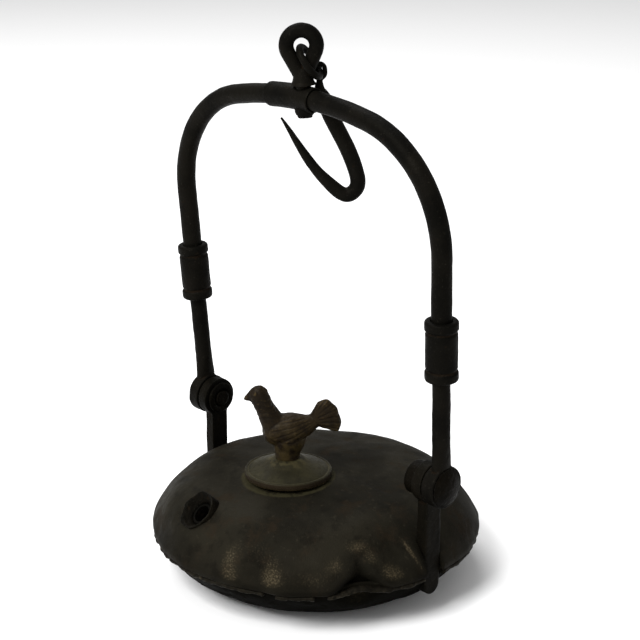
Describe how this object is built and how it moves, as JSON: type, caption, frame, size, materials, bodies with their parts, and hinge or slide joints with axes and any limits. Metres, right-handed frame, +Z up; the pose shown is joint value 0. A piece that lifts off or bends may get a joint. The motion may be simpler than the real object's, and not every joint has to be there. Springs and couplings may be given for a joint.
{
  "type": "oil lamp",
  "caption": "Closed hanging oil lamp with a pillow-shaped iron font, screw filler cap with a hen finial, swinging bail, swivel eye, link and hook.",
  "frame": {"origin": "centre of the flat base of the font, on the surface that the lamp stands on", "axes": "+Z up; the wick points towards -Y; the bail's rivets lie along X"},
  "size_m": [0.1318, 0.115, 0.1903],
  "materials": {
    "font_iron": "hammered iron sheet with dark oil patina, worn bright along the rim",
    "forged_iron": "forged iron, dark patina with brown rust in the recesses",
    "bail_iron": "forged round bar, smooth dark patina",
    "hook_iron": "forged iron, hammered, dark patina",
    "braze": "dull old braze",
    "cap_brass": "tarnished brass, nearly black in the recesses",
    "finial_bronze": "cast bronze with brown patina, rubbed on the high spots",
    "washer_leather": "oil-soaked leather"
  },
  "bodies": {
    "root": {"font_top_shell": "font_iron", "font_bottom_shell": "font_iron", "seam_braze": "braze", "filler_neck": "cap_brass", "wick_collar": "font_iron", "wick_tube": "cap_brass", "lug_right": "forged_iron", "lug_left": "forged_iron", "pivot_rivet_right": "forged_iron", "pivot_rivet_left": "forged_iron", "rivet_burr_right": "forged_iron", "rivet_burr_left": "forged_iron"},
    "bail": {"bail_arch": "bail_iron", "crown_boss": "bail_iron", "collar_left": "bail_iron", "collar_right": "bail_iron", "bail_arm_left": "bail_iron", "bail_arm_right": "bail_iron"},
    "swivel": {"swivel_eye": "forged_iron", "swivel_burr": "forged_iron"},
    "link": {"hook_link": "forged_iron"},
    "hook": {"hook": "hook_iron"},
    "washer": {"cap_washer": "washer_leather"},
    "cap": {"filler_cap": "cap_brass", "cap_plug": "cap_brass", "rooster": "finial_bronze", "rooster_rivet": "cap_brass"}
  },
  "joints": [
    {"name": "bail_swing", "type": "hinge", "parent": "root", "child": "bail", "pos_m": [0, 0, 0.0475], "axis": [1, 0, 0], "range_deg": [-90, 86]},
    {"name": "swivel_turn", "type": "hinge", "parent": "bail", "child": "swivel", "pos_m": [0.003, -0.00789, 0.16624], "axis": [0, -0.0663, 0.9978], "range_deg": [-12, 25]},
    {"name": "link_swing", "type": "hinge", "parent": "swivel", "child": "link", "pos_m": [0.00466, -0.00684, 0.17726], "axis": [0.68, 0.467, 0.5652], "range_deg": [0, 30]},
    {"name": "hook_swing", "type": "hinge", "parent": "link", "child": "hook", "pos_m": [0.00422, -0.00228, 0.17402], "axis": [0.7314, -0.6805, -0.0452], "range_deg": [0, 40]},
    {"name": "cap_lift", "type": "slide", "parent": "root", "child": "washer", "axis": [0, 0, 1], "range_m": [0, 0.012]},
    {"name": "cap_turn", "type": "hinge", "parent": "washer", "child": "cap", "pos_m": [0, -0.013, 0.04], "axis": [0, 0, 1], "range_deg": [0, 2160]}
  ],
  "couplings": [
    {"joint": "cap_lift", "follows": "cap_turn", "m_per_rad": 0.00031831}
  ]
}
